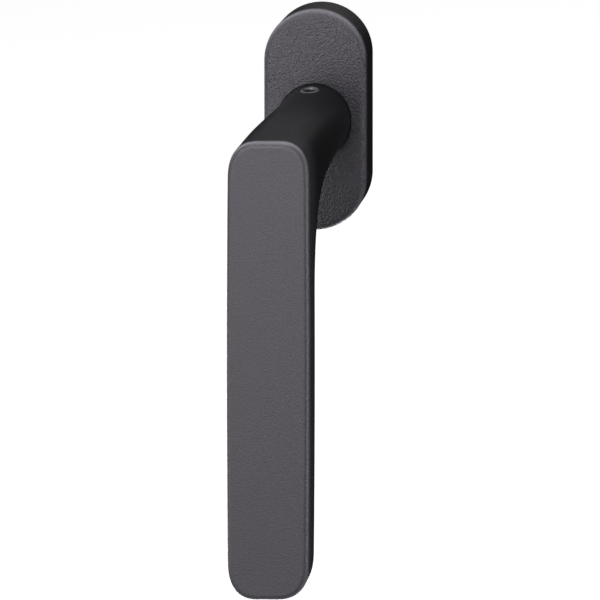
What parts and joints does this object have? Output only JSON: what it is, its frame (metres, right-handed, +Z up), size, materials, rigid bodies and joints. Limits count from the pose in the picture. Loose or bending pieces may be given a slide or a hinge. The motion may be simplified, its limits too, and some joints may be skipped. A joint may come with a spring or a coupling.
{
  "type": "tilt turn window handle",
  "caption": "Window handle with a stadium-shaped rosette, a round neck, a flat wide grip hanging down, a socket set screw on the neck and a square spindle behind.",
  "frame": {"origin": "on the spindle axis, in the plane of the window face that the rosette sits on", "axes": "+Y into the window along the spindle, -Y towards the room, +Z up with the grip hanging down, +X to the right seen from the room"},
  "size_m": [0.033, 0.0939, 0.1614],
  "materials": {
    "polyamide": "fine-grained matt anthracite moulding",
    "base_polymer": "black glass-filled moulding",
    "zinc_steel": "zinc-plated steel",
    "spring_steel": "tempered spring steel",
    "black_steel": "black oxide steel",
    "bronze": "sintered bronze",
    "acetal": "natural acetal, smooth",
    "cast_zinc": "bare zinc die casting"
  },
  "bodies": {
    "rosette_base": {"base_plate": "base_polymer", "back_plate": "zinc_steel", "bearing_bush": "bronze", "detent_spring_left": "spring_steel", "detent_spring_right": "spring_steel", "screw_upper": "zinc_steel", "screw_lower": "zinc_steel", "lug_upper": "cast_zinc", "lug_lower": "cast_zinc", "rivet_1": "cast_zinc", "rivet_2": "cast_zinc", "rivet_3": "cast_zinc", "rivet_4": "cast_zinc", "cover_clip_upper": "spring_steel", "cover_clip_lower": "spring_steel"},
    "cover": {"cover": "polyamide", "cover_guide_ring": "acetal"},
    "lever": {"grip": "polyamide", "steel_core": "zinc_steel", "neck_sleeve": "zinc_steel", "set_screw": "black_steel", "spindle": "zinc_steel", "detent_cam": "acetal", "retaining_ring": "spring_steel", "thrust_washer": "acetal"}
  },
  "joints": [
    {"name": "handle_turn", "type": "hinge", "parent": "rosette_base", "child": "lever", "pos_m": [0, 0, 0], "axis": [0, 1, 0], "continuous": true, "deforming": ["detent_spring_left", "detent_spring_right"]},
    {"name": "cover_lift", "type": "slide", "parent": "rosette_base", "child": "cover", "axis": [0, -1, 0], "range_m": [0, 0.01], "deforming": ["cover_clip_upper", "cover_clip_lower"]}
  ]
}
